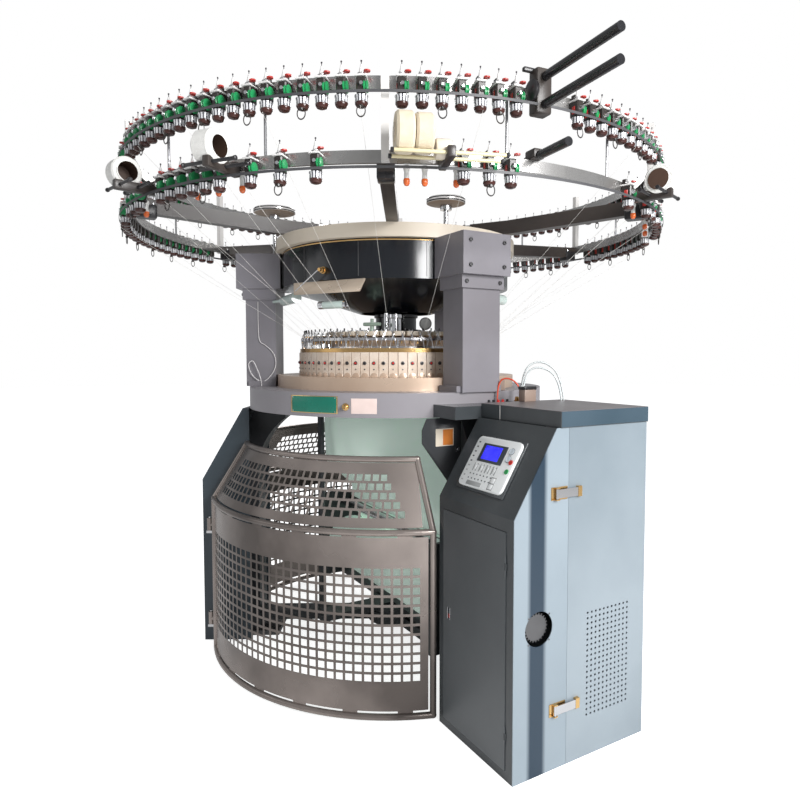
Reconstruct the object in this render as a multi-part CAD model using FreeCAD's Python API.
import FreeCAD, Part
import math
import os

# Circular knitting machine. Millimetres, +Z up, origin on the machine's vertical axis at floor level,
# +X through the right leg, its pillar and the control cabinet.

# ---- driving dimensions ----------------------------------------------------------------------
GAP = 0.3                      # clearance between pieces that move past each other
RUN = 0.05                     # radial running clearance of a shaft in its bore
LEG_ANGLES = (0, 120, 240)     # right, rear and left leg
ARM_ANGLES = (30, 90, 150, 210, 270, 330)

BED_Z = 1177                   # underside of the bed ring
BED_H = 102
BED_R = 735
BED_LIP_R = 470                # bore of the lip that carries the ring gear
BED_LIP_H = 22
PITCH_R = 480                  # ring gear, toothed outside
GEAR_TEETH = 120
PINION_TEETH = 16
GEAR_H = 50
CYL_R = 381                    # needle cylinder: 30 inches across
CYL_WALL = 36
CYL_TOP = 1462

SEAT_R = 599                   # cam seat ring
SEAT_H = 57
CAM_COUNT = 72
CAM_R = 490
CAM_H = 111
RIM_H = 18
GUIDE_Z = 1500                 # yarn guide ring
GUIDE_R = 475

PILLAR_R = 675                 # pillar centre radius
PILLAR_D = 148                 # radial depth
PILLAR_W = 190                 # tangential width
PILLAR_TOP = 1936
DRUM_R = 570                   # black drum under the top plate
DRUM_Z = 1764
DRUM_WALL = 6
CONE_R = 187
CONE_Z = 1645
PLATE_R = 600                  # top plate
PLATE_H = 60
SPINDLE_R = 60                 # dial spindle
HUB_R = 90

RING_R = 1231                  # both feeder rings
RING_T = 12
RING_H = 42
LOWER_Z = 2072
UPPER_Z = 2306
SLOTS = 124                    # feeder places round a ring
FEEDER_R = 1262
FEEDER_DRUM_R = 23

LEG_W = 150                    # leg casting, tangential
LEG_OUT = 860
LEG_IN = 700
ANCHOR_AT = 650                # anchor bolts on this radius
COVER_HALF = 215                # leg cover, half its tangential width
COVER_OUT = 940
COVER_WALL = 3
PAD_H = 24
ANCHOR_R = 9                   # anchor bolt hole

GATE_R = 909                   # curved guard gates
GATE_MID_Z = 752
GATE_TOP_R = 756
GATE_TOP_Z = 1012
GATE_TUBE = 12.7
GATE_SHEET = 2
HOLE = 28                      # square holes and their pitch
HOLE_PITCH = 38
HINGE_PIN = 6
HINGE_R = 930
HINGE_Z = (130, 590)
GATES = {"gate_front": (-102, -19.5, -1), "gate_right": (24, 102, 1), "gate_left": (138, 220.5, 1)}

CAB_X0 = 866                   # control cabinet
CAB_X1 = 1319
CAB_Y0 = -280
CAB_Y1 = 342
CAB_SLOPE_Y = -98
CAB_SLOPE_Z0 = 894
CAB_SLOPE_Z1 = 1187
CAB_TOP = 1242
CAB_SEAM_Y = -43
CAB_WALL = 3
DOOR = (898, 1278, 33, 847)
DOOR_T = 20
DOOR_GAP = 0.8
CRANK_Y = -171
CRANK_Z = 511
CRANK_HOLE_R = 60

DRIVE_A = 24                   # direction of the drive shaft
SHAFT_R = 20
BELT_Z = 1100
BELT_H = 40
SHAFT_PULLEY_R = 90
MOTOR_PULLEY_R = 60
MOTOR_X = 990
MOTOR_Y = 225
MOTOR_R = 95

ROLL_HALF = 590                # half length of take-down rollers and cloth roll
ROLL_R = 25
ROLL_Z = 560
CLOTH_R = 140
CLOTH_Z = 330
FABRIC_R = 372
FABRIC_Z = 900                  # height where the tube starts to close

UP = FreeCAD.Vector(0, 0, 1)
ZERO = FreeCAD.Vector(0, 0, 0)
MODULE = 2 * PITCH_R / GEAR_TEETH
PINION_R = MODULE * PINION_TEETH / 2
SHAFT_AT = PITCH_R + PINION_R
SEAT_Z = BED_Z + BED_H
CAM_Z = SEAT_Z + SEAT_H
RIM_Z = CAM_Z + CAM_H
GEAR_Z = BED_Z + BED_LIP_H + GAP


# ---- shapes used by many sub-parts -----------------------------------------------------------
def vec(x, y, z):
    return FreeCAD.Vector(x, y, z)


def polar(r, a, z):
    return vec(r * math.cos(math.radians(a)), r * math.sin(math.radians(a)), z)


def turned(shape, a):
    copy = shape.copy()
    copy.rotate(ZERO, UP, a)
    return copy


def block(x0, x1, y0, y1, z0, z1):
    return Part.makeBox(x1 - x0, y1 - y0, z1 - z0, vec(x0, y0, z0))


def radial_block(r0, r1, width, z0, z1, a):
    return turned(block(r0, r1, -width / 2, width / 2, z0, z1), a)


def disc(r, z0, z1, x=0, y=0):
    return Part.makeCylinder(r, z1 - z0, vec(x, y, z0))


def tube(r_in, r_out, z0, z1):
    return disc(r_out, z0, z1).cut(disc(r_in, z0 - 1, z1 + 1))


def rod(start, end, r):
    return Part.makeCylinder(r, (end - start).Length, start, end - start)


def face_of(points):
    return Part.Face(Part.makePolygon(points + [points[0]]))


def revolved(profile):
    face = face_of([vec(r, 0, z) for r, z in profile])
    return face.revolve(ZERO, UP, 360)


def arc_rod(ring_r, z, a0, a1, r):
    circle = Part.Face(Part.Wire(Part.makeCircle(r, vec(ring_r, 0, z), vec(0, 1, 0))))
    return turned(circle.revolve(ZERO, UP, a1 - a0), a0)


def fused(shapes):
    return shapes[0].fuse(shapes[1:]).removeSplitter()


def group(shapes):
    return Part.makeCompound(shapes)


def gear(teeth, module, z0, z1, bore, phase):
    """Spur gear with straight-sided teeth, thinner than half a pitch so that a pair runs with play."""
    root = module * (teeth / 2 - 0.9)
    tip = module * (teeth / 2 + 0.7)
    step = 2 * math.pi / teeth
    points = []
    for i in range(teeth):
        middle = math.radians(phase) + i * step
        for r, share in ((root, -0.26), (tip, -0.12), (tip, 0.12), (root, 0.26)):
            angle = middle + share * step
            points.append(vec(r * math.cos(angle), r * math.sin(angle), z0))
    body = face_of(points).extrude(vec(0, 0, z1 - z0))
    return body.cut(disc(bore, z0 - 1, z1 + 1))


# ---- frame -----------------------------------------------------------------------------------
def leg_castings():
    """Three cast legs: an upright under the bed ring with a rounded haunch on the inside."""
    inner = LEG_IN
    head = BED_R - 175
    top_out = BED_R - 28
    outline = [
        Part.LineSegment(vec(LEG_OUT, 0, PAD_H), vec(LEG_OUT, 0, 860)),
        Part.LineSegment(vec(LEG_OUT, 0, 860), vec(top_out, 0, BED_Z)),
        Part.LineSegment(vec(top_out, 0, BED_Z), vec(head, 0, BED_Z)),
        Part.LineSegment(vec(head, 0, BED_Z), vec(head, 0, BED_Z - 60)),
        Part.Arc(vec(head, 0, BED_Z - 60), vec(inner - 35, 0, BED_Z - 180), vec(inner, 0, BED_Z - 400)),
        Part.LineSegment(vec(inner, 0, BED_Z - 400), vec(inner, 0, PAD_H)),
        Part.LineSegment(vec(inner, 0, PAD_H), vec(LEG_OUT, 0, PAD_H)),
    ]
    face = Part.Face(Part.Wire([edge.toShape() for edge in outline]))
    leg = face.extrude(vec(0, LEG_W, 0)).translated(vec(0, -LEG_W / 2, 0))
    return group([turned(leg, a) for a in LEG_ANGLES])


def foot_pads():
    """Foot plates with one anchor bolt hole each, inside the leg."""
    pads = []
    for a in LEG_ANGLES:
        pad = radial_block(ANCHOR_AT - 50, LEG_OUT + 2, LEG_W + 50, 0, PAD_H, a)
        pads.append(pad.cut(Part.makeCylinder(ANCHOR_R, PAD_H + 2, polar(ANCHOR_AT, a, -1))))
    return group(pads)


def base_spider():
    """Low frame that ties the legs together and carries the take-down bearing."""
    arms = [radial_block(0, LEG_IN, 90, 60, 110, a) for a in LEG_ANGLES]
    return fused([disc(150, 60, 120)] + arms)


def leg_covers():
    """Folded sheet covers round the left and rear legs, open towards the machine."""
    wall = COVER_WALL
    kink = 830
    half_in = COVER_HALF - wall
    inner = LEG_IN + 10

    def prism(shrink):
        x = COVER_OUT - shrink
        top = BED_Z - GAP - shrink
        points = [(inner, 30), (x, 30), (x, kink), (BED_R + 5 - shrink, top), (inner, top)]
        half = COVER_HALF - shrink
        face = face_of([vec(px, -half, pz) for px, pz in points])
        return face.extrude(vec(0, 2 * half, 0))
    inside = prism(wall).fuse(block(LEG_IN, inner + 1, -half_in, half_in, 20, BED_Z))
    inside = inside.fuse(block(LEG_IN, COVER_OUT - wall, -half_in, half_in, 20, 60))
    cover = prism(0).cut(inside)
    return group([turned(cover, a) for a in LEG_ANGLES[1:]])


def bed_ring():
    """Ring casting with the gear lip inside and a pocket for the drive pinion."""
    lip = BED_Z + BED_LIP_H
    gear_bore = PITCH_R + MODULE + 8
    ring = disc(BED_R, BED_Z, SEAT_Z)
    ring = ring.cut(disc(gear_bore, lip, SEAT_Z + 1))
    ring = ring.cut(disc(BED_LIP_R, BED_Z - 1, lip + 1))
    at = polar(SHAFT_AT, DRIVE_A, 0)
    ring = ring.cut(disc(PINION_R + MODULE + 6, lip, SEAT_Z + 1, at.x, at.y))
    return ring.cut(disc(SHAFT_R + RUN, BED_Z - 1, lip + 1, at.x, at.y))


def cam_seat_ring():
    return tube(CYL_R + 12, SEAT_R, SEAT_Z, CAM_Z)


def cam_boxes():
    """One block for each feed, with a hair gap between neighbours."""
    pitch = 360 / CAM_COUNT
    half = math.radians(pitch / 2)
    inner = CYL_R + 10
    points = [(inner, -1), (CAM_R, -1), (CAM_R, 1), (inner, 1)]
    edge = 0.5
    face = face_of([vec(r * math.cos(half), s * (r * math.sin(half) - edge), CAM_Z) for r, s in points])
    box = face.extrude(vec(0, 0, CAM_H))
    return group([turned(box, i * pitch) for i in range(CAM_COUNT)])


def cam_rim():
    return tube(CAM_R - 26, CAM_R - 2, RIM_Z, RIM_Z + RIM_H)


def yarn_guide_ring():
    """Ring on short posts, with one carrier for each feed."""
    parts = [tube(GUIDE_R - 18, GUIDE_R, GUIDE_Z, GUIDE_Z + 12)]
    for i in range(12):
        foot = polar(GUIDE_R - 9, i * 30 + 2.5, RIM_Z + RIM_H)
        parts.append(Part.makeCylinder(5, GUIDE_Z - foot.z, foot))
    pitch = 360 / CAM_COUNT
    for i in range(CAM_COUNT):
        parts.append(radial_block(GUIDE_R - 75, GUIDE_R - 4, 9, GUIDE_Z + 12, GUIDE_Z + 20, i * pitch))
    return group(parts)


def pillars():
    """Three pillars: foot flange, shaft, collar and a wider head under the top plate."""
    r0 = PILLAR_R - PILLAR_D / 2
    r1 = PILLAR_R + PILLAR_D / 2
    made = []
    for a in LEG_ANGLES:
        foot = radial_block(SEAT_R + GAP, r1 - 14, PILLAR_W + 40, SEAT_Z, SEAT_Z + 26, a)
        shaft = radial_block(r0, r1, PILLAR_W, SEAT_Z, 1710, a)
        collar = radial_block(r0 - 8, r1 + 12, PILLAR_W + 24, 1710, DRUM_Z, a)
        head = radial_block(DRUM_R + GAP, r1 + 40, PILLAR_W + 50, DRUM_Z, PILLAR_TOP, a)
        made.append(fused([foot, shaft, collar, head.cut(disc(DRUM_R + GAP, DRUM_Z - 1, PILLAR_TOP + 1))]))
    return group(made)


def yarn_drum():
    """Turned black drum: straight wall, cone below."""
    w = DRUM_WALL
    return revolved([(CONE_R, CONE_Z), (DRUM_R, DRUM_Z), (DRUM_R, PILLAR_TOP), (DRUM_R - w, PILLAR_TOP),
                     (DRUM_R - w, DRUM_Z + 4), (CONE_R - w, CONE_Z + w)])


def drum_top_plate():
    return tube(HUB_R + 30, PLATE_R, PILLAR_TOP, PILLAR_TOP + PLATE_H)


def dial_spindle():
    """Centre column hung from the top plate; the dial turns on its lower end."""
    top = PILLAR_TOP + PLATE_H
    return revolved([(0, 1440), (SPINDLE_R + 20, 1440), (SPINDLE_R + 20, CYL_TOP + 1), (SPINDLE_R, CYL_TOP + 1),
                     (SPINDLE_R, 1561), (HUB_R, 1561), (HUB_R, 1630), (SPINDLE_R, 1650), (SPINDLE_R, top),
                     (HUB_R + 70, top), (HUB_R + 70, top + 18), (0, top + 18)])


def dial_cams():
    """Fixed dial cam plate above the needle dial."""
    lower = revolved([(SPINDLE_R, 1476), (362, 1476), (362, 1500), (300, 1524), (SPINDLE_R, 1524)])
    return lower


def lamps():
    """Two tubular lamps, each on a bracket from a pillar."""
    made = []
    for a, swing in ((240, 26), (0, 26)):
        lamp_a = a + swing
        centre = polar(555, lamp_a, 1700)
        along = polar(1, lamp_a + 90, 0)
        body = rod(centre - along * 110, centre + along * 110, 24)
        arm = rod(polar(PILLAR_R, a, 1700), centre, 8)
        pillar = radial_block(PILLAR_R - PILLAR_D / 2, PILLAR_R + PILLAR_D / 2, PILLAR_W, 1600, 1800, a)
        made.append(body.fuse(arm).cut(pillar).Solids[0])
    return group(made)


FRONT_A = 338.5                  # front roller unit, and half its length
FRONT_HALF = 185
ROLLER_UNITS = ((FRONT_A, FRONT_HALF), (306, 110), (285, 110), (20, 120))


# ---- feeder rings ----------------------------------------------------------------------------
def ring_arms():
    """Six bars from the top plate to the lower ring."""
    z0 = PILLAR_TOP + PLATE_H
    end = RING_R - RING_T / 2 - GAP
    made = []
    for a in ARM_ANGLES:
        points = [(430, z0), (640, z0), (end, LOWER_Z - 44), (end, LOWER_Z + 14),
                  (620, z0 + 62), (430, z0 + 62)]
        bar = face_of([vec(r, -25, z) for r, z in points]).extrude(vec(0, 50, 0))
        made.append(turned(bar, a))
    return group(made)


def feeder_ring(z):
    return tube(RING_R - RING_T / 2, RING_R + RING_T / 2, z - RING_H / 2, z + RING_H / 2)


def ring_posts():
    """Square posts that carry the upper ring on the lower one."""
    r0 = RING_R + RING_T / 2
    return group([radial_block(r0, r0 + 26, 26, LOWER_Z - RING_H / 2, UPPER_Z + 90, a) for a in ARM_ANGLES])


def near_any(a, centres, width):
    return any(abs((a - c + 180) % 360 - 180) < width for c in centres)


def feeder_angles(upper):
    """Angles of the filled feeder places on a ring."""
    filled = []
    for i in range(SLOTS):
        a = (i + 0.5) * 360 / SLOTS
        if near_any(a, ARM_ANGLES, 2.1):
            continue
        if upper:
            if not near_any(a, (-4.5,), 4):
                filled.append(a)
        elif near_any(a, (278,), 34) or near_any(a, (32,), 17) or near_any(a, (150,), 94):
            filled.append(a)
    if not upper:
        filled += [314.2, 319.8, 341.5, 345.5, 349]
        filled = [a for a in filled if not near_any(a, [unit for unit, half in ROLLER_UNITS], 2.1)]
    return filled


FEEDERS = [(a, UPPER_Z) for a in feeder_angles(True)] + [(a, LOWER_Z) for a in feeder_angles(False)]


def feeder_bodies():
    """Feeder housings clamped to the outside of the rings."""
    r0 = RING_R + RING_T / 2
    return group([radial_block(r0, FEEDER_R + 22, 30, z - 50, z + 8, a) for a, z in FEEDERS])


def feeder_discs(r, low, high):
    return group([Part.makeCylinder(r, high - low, polar(FEEDER_R, a, z + low)) for a, z in FEEDERS])


def feeder_caps():
    """Bases under the storage drums."""
    return feeder_discs(FEEDER_DRUM_R - 2, -90, -74)


def feeder_drums():
    return feeder_discs(FEEDER_DRUM_R, -74, -50)


def feeder_tensioners():
    return feeder_discs(12, 8, 57)


LAMP_ANGLES = (333.2, 336, 341, 296, 301, 306, 276, 24, 36, 44)


def feeder_lamps():
    """Stop lamps clipped under the lower ring."""
    r0 = RING_R - RING_T / 2 - 30
    z1 = LOWER_Z - RING_H / 2
    return group([radial_block(r0, RING_R + RING_T / 2 - 6, 24, z1 - 66, z1, a) for a in LAMP_ANGLES])


# ---- spandex rollers and yarn length discs -----------------------------------------------------
TOP_ROLL_A = 354
TOP_ROLL_Z = (2262, 2352)
TOP_ROLL = (1290, 1650)
SINGLE_ROLL_Z = 2104
SINGLE_ROLL = (1085, 1420)
ROLL_UNIT_R = 1345
ROLL_UNIT_Z = 2047
ROLL_SPREAD = 32
BOBBIN_R = 64
BOBBIN_L = 116
BOBBIN_BORE = 24
ROD_R = 6                        # rods of the roller units
BAR_R = 15                       # driven radial rollers


def radial_roller(r0, r1, z):
    return rod(polar(r0, TOP_ROLL_A, z), polar(r1, TOP_ROLL_A, z), BAR_R)


def tangential(a, r, z, t0, t1, radius):
    side = polar(1, a + 90, 0)
    middle = polar(r, a, z)
    return rod(middle + side * t0, middle + side * t1, radius)


def top_roller(z):
    journal = rod(polar(TOP_ROLL[0] - 46, TOP_ROLL_A, z), polar(TOP_ROLL[0], TOP_ROLL_A, z), 8)
    return journal.fuse(radial_roller(TOP_ROLL[0], TOP_ROLL[1], z)).removeSplitter()


def single_roller():
    ends = rod(polar(SINGLE_ROLL[0] + 120, TOP_ROLL_A, SINGLE_ROLL_Z),
               polar(SINGLE_ROLL[0] + 178, TOP_ROLL_A, SINGLE_ROLL_Z), 8)
    inner = radial_roller(SINGLE_ROLL[0], SINGLE_ROLL[0] + 120, SINGLE_ROLL_Z)
    outer = radial_roller(SINGLE_ROLL[0] + 178, SINGLE_ROLL[1], SINGLE_ROLL_Z)
    return fused([ends, inner, outer])


def front_bobbin():
    """Double cheese of spandex that rests on the two front rollers."""
    z = ROLL_UNIT_Z + math.sqrt((BOBBIN_R + ROD_R + GAP) ** 2 - ROLL_SPREAD ** 2)
    start = 18 - FRONT_HALF
    bobbin = tangential(FRONT_A, ROLL_UNIT_R, z, start, start + BOBBIN_L, BOBBIN_R)
    return bobbin.cut(tangential(FRONT_A, ROLL_UNIT_R, z, start - 5, start + BOBBIN_L + 5, BOBBIN_BORE))


def roller_brackets():
    """Brackets that clamp the roller units to the rings, with the fixed rollers of the side units."""
    made = []
    r_out = RING_R + RING_T / 2
    block_top = radial_block(r_out, TOP_ROLL[0] - GAP, 60, UPPER_Z - 74, UPPER_Z + 76, TOP_ROLL_A)
    for z in TOP_ROLL_Z:
        start = polar(r_out - 5, TOP_ROLL_A, z)
        block_top = block_top.cut(rod(start, polar(TOP_ROLL[1], TOP_ROLL_A, z), 8 + RUN))
    made.append(block_top)
    r0 = SINGLE_ROLL[0] + 120 + GAP
    r1 = SINGLE_ROLL[0] + 178 - GAP
    single = radial_block(r0, r1, 44, LOWER_Z + RING_H / 2, SINGLE_ROLL_Z + 24, TOP_ROLL_A)
    made.append(single.cut(rod(polar(r0 - 5, TOP_ROLL_A, SINGLE_ROLL_Z), polar(r1 + 5, TOP_ROLL_A, SINGLE_ROLL_Z),
                               8 + RUN)))
    for a, half in ROLLER_UNITS:
        rollers = [tangential(a, ROLL_UNIT_R + s * ROLL_SPREAD, ROLL_UNIT_Z, -half, half, ROD_R) for s in (-1, 1)]
        foot = turned(block(r_out, ROLL_UNIT_R + 50, -14, 14, ROLL_UNIT_Z - 18, LOWER_Z + 8), a)
        made.append(fused([foot] + rollers))
    return group(made)


LEFT_DISC = (-310, -537, 2150)
RIGHT_DISC = (550, -50, 2085)
DISC_H = 34


def disc_posts():
    """Posts on the left pillar head and the top plate that carry the two yarn length discs."""
    made = []
    for (x, y, z), foot in ((LEFT_DISC, PILLAR_TOP), (RIGHT_DISC, PILLAR_TOP + PLATE_H)):
        made.append(disc(10, foot, z + DISC_H, x, y).fuse(disc(26, z - 20, z - GAP, x, y)))
    return group(made)


def length_disc(place, r):
    """Grooved disc of adjustable working diameter."""
    x, y, z = place
    body = disc(r, z, z + DISC_H, x, y).cut(disc(10 + RUN, z - 1, z + DISC_H + 1, x, y))
    groove = disc(r + 1, z + 12, z + 22, x, y).cut(disc(r - 10, z + 11, z + 23, x, y))
    return body.cut(groove)


# ---- control cabinet -------------------------------------------------------------------------
DOOR_FRONT = CAB_Y0 - 3
HINGE_X = DOOR[1] - 1            # door hinge axis, at the door's front edge
KNUCKLE_R = 2.6
KNUCKLE_H = 24
DOOR_HINGE_Z = (140, 720)        # undersides of the fixed knuckles


def door_knuckle(z, height):
    return disc(KNUCKLE_R, z, z + height, HINGE_X, DOOR_FRONT)


def cabinet_profile(shrink, x0, x1):
    """Side outline of the cabinet, drawn in by shrink and extruded from x0 to x1."""
    s = shrink
    points = [(CAB_Y0 + s, s), (CAB_Y0 + s, CAB_SLOPE_Z0 - s / 2), (CAB_SLOPE_Y + s, CAB_SLOPE_Z1 - s / 2),
              (CAB_SLOPE_Y + s, CAB_SLOPE_Z1), (CAB_Y1 - s, CAB_SLOPE_Z1), (CAB_Y1 - s, s)]
    points = [points[i] for i in (0, 1, 2, 4, 5)] if s == 0 else points
    return face_of([vec(x0, y, z) for y, z in points]).extrude(vec(x1 - x0, 0, 0))


def cabinet_body():
    """Folded shell: bottom, front with door opening, slope and inner wall with the belt slot."""
    w = CAB_WALL
    shell = cabinet_profile(0, CAB_X0, CAB_X1 - w)
    shell = shell.cut(cabinet_profile(w, CAB_X0 + w, CAB_X1 + 1))
    shell = shell.cut(block(CAB_X0 + 120, CAB_X1 + 1, CAB_Y1 - w, CAB_Y1 + 1, w + 12, CAB_SLOPE_Z1 - 12))
    x0, x1, z0, z1 = DOOR
    shell = shell.cut(block(x0 - DOOR_GAP, x1 + DOOR_GAP, CAB_Y0 - 1, CAB_Y0 + w + 1, z0 - DOOR_GAP, z1 + DOOR_GAP))
    slot = block(CAB_X0 - 1, CAB_X0 + w + 1, 40, 320, BELT_Z - 30, BELT_Z + BELT_H + 30)
    leaves = [block(HINGE_X, HINGE_X + 7, CAB_Y0 - 2.8, CAB_Y0, z + GAP, z + KNUCKLE_H - GAP) for z in DOOR_HINGE_Z]
    return fused([shell.cut(slot)] + leaves + [door_knuckle(z + GAP, KNUCKLE_H - 2 * GAP) for z in DOOR_HINGE_Z])


def side_plate(y0, y1):
    """Flat outer side between two depths, cut to the cabinet's side outline."""
    w = CAB_WALL
    return cabinet_profile(0, CAB_X1 - w, CAB_X1).common(block(CAB_X1 - w, CAB_X1, y0, y1, 0, CAB_TOP))


def cabinet_front_side_panel():
    hole = rod(vec(CAB_X1 - 20, CRANK_Y, CRANK_Z), vec(CAB_X1 + 20, CRANK_Y, CRANK_Z), CRANK_HOLE_R)
    return side_plate(CAB_Y0, CAB_SEAM_Y - 0.5).cut(hole)


def cabinet_rear_cover():
    """Lift-off side and back cover with a field of round vents."""
    side = side_plate(CAB_SEAM_Y + 0.5, CAB_Y1 + CAB_WALL)
    back = block(CAB_X0 + 110, CAB_X1 - CAB_WALL, CAB_Y1, CAB_Y1 + CAB_WALL, 0, CAB_SLOPE_Z1 - 2)
    edge = block(CAB_X1 - CAB_WALL, CAB_X1, CAB_Y1, CAB_Y1 + CAB_WALL, 0, CAB_SLOPE_Z1 - 2)
    vents = []
    for row in range(20):
        for column in range(11):
            y = 55 + column * 20
            z = 150 + row * 19.5
            vents.append(rod(vec(CAB_X1 - 10, y, z), vec(CAB_X1 + 10, y, z), 4.5))
    return fused([side, edge, back]).cut(vents)


def cabinet_top():
    """Dark lid with a deep front fascia, reaching in over the right leg."""
    lid = block(CAB_X0, CAB_X1 + 4, CAB_SLOPE_Y + 14, CAB_Y1 + 6, CAB_SLOPE_Z1, CAB_TOP)
    inner = block(BED_R - 40, CAB_X0, -209, 209, BED_Z + 4, CAB_TOP - 10)
    inner = inner.cut(disc(BED_R + GAP, BED_Z - 40, CAB_TOP + 40))
    return lid.fuse(inner).removeSplitter()


def cabinet_door():
    """Flush sheet door with a recess for the handle, and knuckles above and below each fixed one."""
    x0, x1, z0, z1 = DOOR
    front = DOOR_FRONT
    door = block(x0, x1, front, front + DOOR_T, z0, z1)
    door = door.cut(block(929, 943, front - 1, front + 8, 435, 478))
    for z in DOOR_HINGE_Z:
        door = door.cut(block(HINGE_X - 5, x1 + 1, front - 1, front + DOOR_T + 1, z, z + KNUCKLE_H))
        door = door.fuse([door_knuckle(z - KNUCKLE_H, KNUCKLE_H), door_knuckle(z + KNUCKLE_H, KNUCKLE_H)])
    return door


SLOPE_LENGTH = math.hypot(CAB_SLOPE_Y - CAB_Y0, CAB_SLOPE_Z1 - CAB_SLOPE_Z0)
SLOPE_ANGLE = math.degrees(math.atan2(CAB_SLOPE_Z1 - CAB_SLOPE_Z0, CAB_SLOPE_Y - CAB_Y0))


def on_slope(shape):
    """Places a shape drawn flat, x along the cabinet and y up the slope, on the sloped panel."""
    copy = shape.copy()
    copy.rotate(ZERO, vec(1, 0, 0), SLOPE_ANGLE)
    return copy.translated(vec(0, CAB_Y0, CAB_SLOPE_Z0))


KEY_X0 = 950
KEY_X1 = 1215
KEY_V0 = 60
KEY_V1 = 268
BUTTON_X = 1192
BUTTON_V = (150, 186)
BUTTON_R = 10
BUTTON_TRAVEL = 3


def keypad_case():
    case = block(KEY_X0, KEY_X1, KEY_V0, KEY_V1, 0, 14)
    for v in BUTTON_V:
        case = case.cut(disc(BUTTON_R + RUN, 2, 15, BUTTON_X, v))
    return on_slope(case)


def push_button(v):
    low = 2 + BUTTON_TRAVEL + GAP
    return on_slope(disc(BUTTON_R, low, 14 + BUTTON_TRAVEL + 1, BUTTON_X, v))


LATCH_Z = (213, 965)
LATCH_PIN_Y = CAB_SEAM_Y - 60


def latch_bases():
    """Base plates with hinge ears, and the catches they pull on."""
    made = []
    for z in LATCH_Z:
        base = block(CAB_X1, CAB_X1 + 3, LATCH_PIN_Y - 20, CAB_SEAM_Y - 8, z - 22, z + 22)
        ears = [block(CAB_X1 + 3, CAB_X1 + 15, LATCH_PIN_Y - 8, LATCH_PIN_Y + 8, z + s, z + s + 4)
                for s in (-22, 18)]
        pin = rod(vec(CAB_X1 + 9, LATCH_PIN_Y, z - 20), vec(CAB_X1 + 9, LATCH_PIN_Y, z + 20), 2.5)
        made.append(fused([base, pin] + ears))
        made.append(block(CAB_X1, CAB_X1 + 12, CAB_SEAM_Y + 34, CAB_SEAM_Y + 52, z - 18, z + 18))
    return group(made)


def latch_lever(z):
    """Lever and hook of a toggle latch, turning on the pin of its base."""
    x = CAB_X1 + 9
    knuckle = rod(vec(x, LATCH_PIN_Y, z - 17), vec(x, LATCH_PIN_Y, z + 17), 5.5)
    arm = block(x - 2, x + 3, LATCH_PIN_Y, CAB_SEAM_Y + 33, z - 15, z + 15)
    lever = knuckle.fuse(arm)
    return lever.cut(rod(vec(x, LATCH_PIN_Y, z - 20), vec(x, LATCH_PIN_Y, z + 20), 2.5 + RUN)).removeSplitter()


def hand_wheel():
    """Toothed crank wheel behind the round hole of the side panel."""
    x0 = CAB_X1 - CAB_WALL - 42
    wheel = gear(24, 4, 0, 30, 8, 0)
    wheel = wheel.fuse(disc(9, -60, 0)).fuse(disc(9, 0, 30)).removeSplitter()
    wheel.rotate(ZERO, vec(0, 1, 0), 90)
    return wheel.translated(vec(x0, CRANK_Y, CRANK_Z))


# ---- drive -----------------------------------------------------------------------------------
def motor():
    """Vertical motor on a bracket from the inner wall, and the crank wheel's bearing block."""
    body = disc(MOTOR_R, 640, 1010, MOTOR_X, MOTOR_Y)
    flange = block(CAB_X0 + CAB_WALL, MOTOR_X + 110, MOTOR_Y - 110, MOTOR_Y + 110, 1010, 1024)
    x0 = CAB_X1 - CAB_WALL - 42 - 60
    arm = block(CAB_X0 + CAB_WALL, x0 + 50, CRANK_Y - 30, CRANK_Y + 30, CRANK_Z - 30, CRANK_Z + 30)
    bore = rod(vec(x0 - 2, CRANK_Y, CRANK_Z), vec(x0 + 60, CRANK_Y, CRANK_Z), 9 + RUN)
    flange = flange.cut(disc(SHAFT_R, 1009, 1030, MOTOR_X, MOTOR_Y))
    return group([body.fuse(flange).removeSplitter(), arm.cut(bore)])


def motor_pulley():
    shaft = disc(SHAFT_R - 1, 1010 + GAP, BELT_Z, MOTOR_X, MOTOR_Y)
    return shaft.fuse(disc(MOTOR_PULLEY_R, BELT_Z - 4, BELT_Z + BELT_H + 4, MOTOR_X, MOTOR_Y)).removeSplitter()


def drive_shaft():
    """Upright shaft: pinion in the bed pocket, belt pulley below the bed."""
    at = polar(SHAFT_AT, DRIVE_A, 0)
    phase = 360 / PINION_TEETH / 2 + 180 + DRIVE_A
    share = DRIVE_A * GEAR_TEETH / PINION_TEETH
    pinion = gear(PINION_TEETH, MODULE, GEAR_Z, GEAR_Z + GEAR_H, SHAFT_R, phase + share % (360 / PINION_TEETH))
    pinion = pinion.translated(at)
    shaft = disc(SHAFT_R, BELT_Z - 20, GEAR_Z + GEAR_H, at.x, at.y)
    pulley = disc(SHAFT_PULLEY_R, BELT_Z - 4, BELT_Z + BELT_H + 4, at.x, at.y)
    return fused([shaft, pinion, pulley])


def drive_belt():
    """Flat belt round the two pulleys."""
    at = polar(SHAFT_AT, DRIVE_A, 0)

    def loop(extra):
        ends = [(at.x, at.y, SHAFT_PULLEY_R + extra), (MOTOR_X, MOTOR_Y, MOTOR_PULLEY_R + extra)]
        way = math.atan2(MOTOR_Y - at.y, MOTOR_X - at.x)
        span = math.hypot(MOTOR_X - at.x, MOTOR_Y - at.y)
        lean = math.acos((SHAFT_PULLEY_R - MOTOR_PULLEY_R) / span)
        corners = []
        for (x, y, r), side in ((ends[0], 1), (ends[1], 1), (ends[1], -1), (ends[0], -1)):
            corners.append(vec(x + r * math.cos(way + side * lean), y + r * math.sin(way + side * lean), BELT_Z))
        strip = face_of(corners).extrude(vec(0, 0, BELT_H))
        caps = [disc(r, BELT_Z, BELT_Z + BELT_H, x, y) for x, y, r in ends]
        return fused([strip] + caps)
    return loop(4).cut(loop(GAP))


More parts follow.
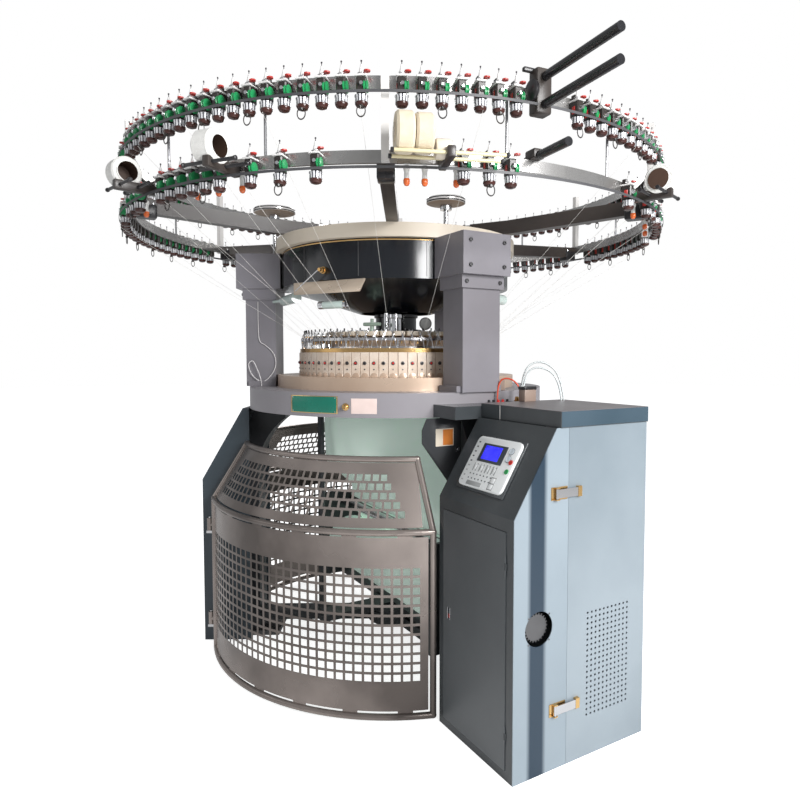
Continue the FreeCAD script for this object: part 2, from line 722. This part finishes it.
# ---- rotor -----------------------------------------------------------------------------------
def ring_gear():
    return gear(GEAR_TEETH, MODULE, GEAR_Z, GEAR_Z + GEAR_H, CYL_R - CYL_WALL, 0)


def needle_cylinder():
    """Cylinder with a trick band of needle grooves near its top."""
    return tube(CYL_R - CYL_WALL, CYL_R, GEAR_Z + GEAR_H, CYL_TOP)


def dial():
    return tube(SPINDLE_R + RUN, CYL_R - 5, CYL_TOP + 2, 1475)


def takedown_frame():
    """Turning frame: turntable on the base bearing, side plates, and two columns up to the ring gear."""
    plates = [block(s * (ROLL_HALF + 22) - 12, s * (ROLL_HALF + 22) + 12, -170, 170, 130, ROLL_Z + 60)
              for s in (-1, 1)]
    for s in (0, 1):
        x0 = -ROLL_HALF - 40 + s * 2 * (ROLL_HALF + 10)
        for y, z, r in ((0, CLOTH_Z, 16), (-ROLL_R - 2, ROLL_Z, 12), (ROLL_R + 2, ROLL_Z, 12)):
            plates[s] = plates[s].cut(rod(vec(x0, y, z), vec(x0 + 60, y, z), r + RUN))
    table = disc(145, 120 + GAP, 150)
    beam = block(-ROLL_HALF - 34, ROLL_HALF + 34, -50, 50, 130, 160)
    cross = block(-50, 50, -435, 435, 130, 160)
    columns = [disc(16, 150, GEAR_Z, 0, s * 418) for s in (-1, 1)]
    return fused([table, beam, cross] + plates + columns)


def long_roller(y, z, r, journal):
    body = rod(vec(-ROLL_HALF, y, z), vec(ROLL_HALF, y, z), r)
    ends = rod(vec(-ROLL_HALF - 34, y, z), vec(ROLL_HALF + 34, y, z), journal)
    return body.fuse(ends).removeSplitter()


def fabric_tube():
    """Knitted tube: round under the cylinder, closing to a flat web above the rollers."""
    top = Part.Wire(Part.makeCircle(FABRIC_R, vec(0, 0, FABRIC_Z)))
    low = Part.Wire(Part.Ellipse(ZERO, ROLL_HALF - 20, 14).toShape())
    low.translate(vec(0, 0, ROLL_Z + ROLL_R + 12))
    skirt = Part.makeLoft([low, top], True, True)
    neck_r = CYL_R - CYL_WALL - 2 * GAP
    neck = revolved([(0, FABRIC_Z), (FABRIC_R, FABRIC_Z), (FABRIC_R, 1120), (neck_r, GEAR_Z - 10),
                     (neck_r, CYL_TOP - 30), (0, CYL_TOP - 30)])
    return skirt.fuse(neck).removeSplitter()


# ---- gates -----------------------------------------------------------------------------------
def gate_frame(a0, a1):
    """Bent tube frame: bottom, middle and top rails with stiles between their ends."""
    low = GATE_TUBE + 15
    inset = 2.5
    parts = [arc_rod(GATE_R, low, a0, a1, GATE_TUBE), arc_rod(GATE_R, GATE_MID_Z, a0, a1, GATE_TUBE),
             arc_rod(GATE_TOP_R, GATE_TOP_Z, a0 + inset, a1 - inset, GATE_TUBE)]
    for a, top_a in ((a0, a0 + inset), (a1, a1 - inset)):
        corners = [polar(GATE_R, a, low), polar(GATE_R, a, GATE_MID_Z), polar(GATE_TOP_R, top_a, GATE_TOP_Z)]
        parts += [Part.makeSphere(GATE_TUBE + 1, corner) for corner in corners]
        parts += [rod(corners[0], corners[1], GATE_TUBE), rod(corners[1], corners[2], GATE_TUBE)]
    return parts[0].fuse(parts[1:])


def lower_sheet(a0, a1):
    """Curved sheet with square holes."""
    low = 2 * GATE_TUBE + 24
    high = GATE_MID_Z - GATE_TUBE - 6
    margin = 1.2
    sheet = tube(GATE_R - GATE_SHEET, GATE_R, low, high)
    wedge = Part.makeCylinder(GATE_R + 10, high - low, vec(0, 0, low), UP, a1 - a0 - 2 * margin)
    sheet = sheet.common(turned(wedge, a0 + margin))
    step = math.degrees(HOLE_PITCH / GATE_R)
    columns = int((a1 - a0 - 4) / step)
    rows = int((high - low - 190) / HOLE_PITCH)
    tools = []
    for row in range(rows):
        z = low + 132 + row * HOLE_PITCH
        for column in range(columns):
            a = (a0 + a1) / 2 + (column - (columns - 1) / 2) * step
            tools.append(radial_block(GATE_R - 20, GATE_R + 20, HOLE, z - HOLE / 2, z + HOLE / 2, a))
    return sheet.cut(tools)


def upper_sheet(a0, a1):
    """Sloped sheet between the middle and top rails, with five rows of square holes."""
    run = GATE_R - GATE_TOP_R
    rise = GATE_TOP_Z - GATE_MID_Z
    length = math.hypot(run, rise)
    ur = -run / length
    uz = rise / length

    def on(s, out):
        return (GATE_R + ur * s + uz * out, GATE_MID_Z + uz * s - ur * out)
    s0 = GATE_TUBE + 6
    s1 = length - GATE_TUBE - 2
    cone = revolved([on(s0, -GATE_SHEET), on(s1, -GATE_SHEET), on(s1, 0), on(s0, 0)])
    wedge = Part.makeCylinder(GATE_R + 50, 400, vec(0, 0, GATE_MID_Z - 20), UP, a1 - a0 - 5)
    sheet = cone.common(turned(wedge, a0 + 2.5))
    tilt = math.degrees(math.atan2(rise, -run))
    step = math.degrees(HOLE_PITCH / GATE_R)
    tools = []
    for row in range(5):
        r, z = on(72 + row * HOLE_PITCH, 0)
        columns = int((a1 - a0 - 12) / step) - row
        for column in range(columns):
            a = (a0 + a1) / 2 + (column - (columns - 1) / 2) * step
            tool = block(-HOLE / 2, HOLE / 2, -HOLE / 2 * r / GATE_R, HOLE / 2 * r / GATE_R, -20, 20)
            tool.rotate(ZERO, vec(0, 1, 0), -tilt)
            tools.append(turned(tool.translated(vec(r, 0, z)), a))
    return sheet.cut(tools)


def tabs(a0, a1):
    """Short weld tabs that hold both sheets to the rails."""
    made = []
    count = 6
    for i in range(count):
        a = a0 + (i + 0.5) * (a1 - a0) / count
        low = 2 * GATE_TUBE + 24
        high = GATE_MID_Z - GATE_TUBE - 6
        made.append(radial_block(GATE_R - GATE_SHEET, GATE_R, 60, GATE_TUBE + 20, low, a))
        made.append(radial_block(GATE_R - GATE_SHEET, GATE_R, 60, high, GATE_MID_Z, a))
    return made


def hinge_spot(a0, a1, side):
    """Angle of a gate's hinge pin and of the stile beside it."""
    stile = a0 if side < 0 else a1
    return stile + side * 1.9, stile


def gate_knuckles(a0, a1, side):
    """Sleeves on the hinge pins, each with a leaf to the stile."""
    pin_a, stile = hinge_spot(a0, a1, side)
    pin = polar(HINGE_R, pin_a, 0)
    made = []
    for z in HINGE_Z:
        leaf = rod(polar(HINGE_R, pin_a, z + 30), polar(GATE_R, stile, z + 30), 9)
        sleeve = disc(13, z, z + 60, pin.x, pin.y)
        made.append(sleeve.fuse(leaf).cut(disc(HINGE_PIN + RUN, z - 1, z + 61, pin.x, pin.y)))
    return made


def gate_hinges():
    """Hinge pins on arms from the leg covers."""
    made = []
    for name, leg in (("gate_front", 240), ("gate_right", 120), ("gate_left", 240)):
        side = GATES[name][2]
        pin_a = hinge_spot(*GATES[name])[0]
        apart = math.radians(abs((leg - pin_a + 180) % 360 - 180))
        out = HINGE_R * math.cos(apart)
        across = HINGE_R * math.sin(apart)
        for z in HINGE_Z:
            arm = block(out - 14, out + 14, COVER_HALF, across + 12, z - 12, z - GAP)
            if side > 0:
                arm = arm.mirror(ZERO, vec(0, 1, 0))
            pin = Part.makeCylinder(HINGE_PIN, 78, polar(HINGE_R, pin_a, z - 12))
            made.append(turned(arm, leg).fuse(pin))
    return group(made)


def gate(name):
    """One welded gate, built at a fixed place and then turned to its own."""
    a0, a1, side = GATES[name]
    start = GATES["gate_left"][0]
    end = start + a1 - a0
    parts = [gate_frame(start, end), lower_sheet(start, end), upper_sheet(start, end)]
    parts += tabs(start, end) + gate_knuckles(start, end, side)
    return turned(parts[0].fuse(parts[1:]), a0 - start)


NODES = {
    "leg_castings": leg_castings,
    "foot_pads": foot_pads,
    "base_spider": base_spider,
    "leg_covers": leg_covers,
    "bed_ring": bed_ring,
    "cam_seat_ring": cam_seat_ring,
    "cam_boxes": cam_boxes,
    "cam_rim": cam_rim,
    "yarn_guide_ring": yarn_guide_ring,
    "pillars": pillars,
    "yarn_drum": yarn_drum,
    "drum_top_plate": drum_top_plate,
    "dial_spindle": dial_spindle,
    "dial_cams": dial_cams,
    "lamps": lamps,
    "ring_arms": ring_arms,
    "lower_ring": lambda: feeder_ring(LOWER_Z),
    "upper_ring": lambda: feeder_ring(UPPER_Z),
    "ring_posts": ring_posts,
    "feeder_bodies": feeder_bodies,
    "feeder_caps": feeder_caps,
    "feeder_drums": feeder_drums,
    "feeder_tensioners": feeder_tensioners,
    "feeder_lamps": feeder_lamps,
    "roller_brackets": roller_brackets,
    "disc_posts": disc_posts,
    "cabinet_body": cabinet_body,
    "cabinet_front_side_panel": cabinet_front_side_panel,
    "cabinet_rear_cover": cabinet_rear_cover,
    "cabinet_top": cabinet_top,
    "keypad_case": keypad_case,
    "latch_bases": latch_bases,
    "motor": motor,
    "drive_belt": drive_belt,
    "needle_cylinder": needle_cylinder,
    "ring_gear": ring_gear,
    "dial": dial,
    "takedown_frame": takedown_frame,
    "fabric_tube": fabric_tube,
    "cloth_roll": lambda: long_roller(0, CLOTH_Z, CLOTH_R, 16),
    "takedown_roller_driven": lambda: long_roller(-ROLL_R - 2, ROLL_Z, ROLL_R, 12),
    "takedown_roller_idle": lambda: long_roller(ROLL_R + 2, ROLL_Z, ROLL_R, 12),
    "drive_shaft": drive_shaft,
    "motor_pulley": motor_pulley,
    "hand_wheel": hand_wheel,
    "length_disc_left": lambda: length_disc(LEFT_DISC, 105),
    "length_disc_right": lambda: length_disc(RIGHT_DISC, 85),
    "gate_hinges": gate_hinges,
    "gate_front": lambda: gate("gate_front"),
    "gate_right": lambda: gate("gate_right"),
    "gate_left": lambda: gate("gate_left"),
    "cabinet_door": cabinet_door,
    "latch_lower": lambda: latch_lever(LATCH_Z[0]),
    "latch_upper": lambda: latch_lever(LATCH_Z[1]),
    "start_button": lambda: push_button(BUTTON_V[0]),
    "stop_button": lambda: push_button(BUTTON_V[1]),
    "top_roller_lower": lambda: top_roller(TOP_ROLL_Z[0]),
    "top_roller_upper": lambda: top_roller(TOP_ROLL_Z[1]),
    "single_roller": single_roller,
    "front_bobbin": front_bobbin,
}

os.makedirs("parts", exist_ok=True)
for name, build in NODES.items():
    shape = build()
    shape.exportStep("parts/" + name + ".step")
    print(name, len(shape.Solids), shape.isValid())
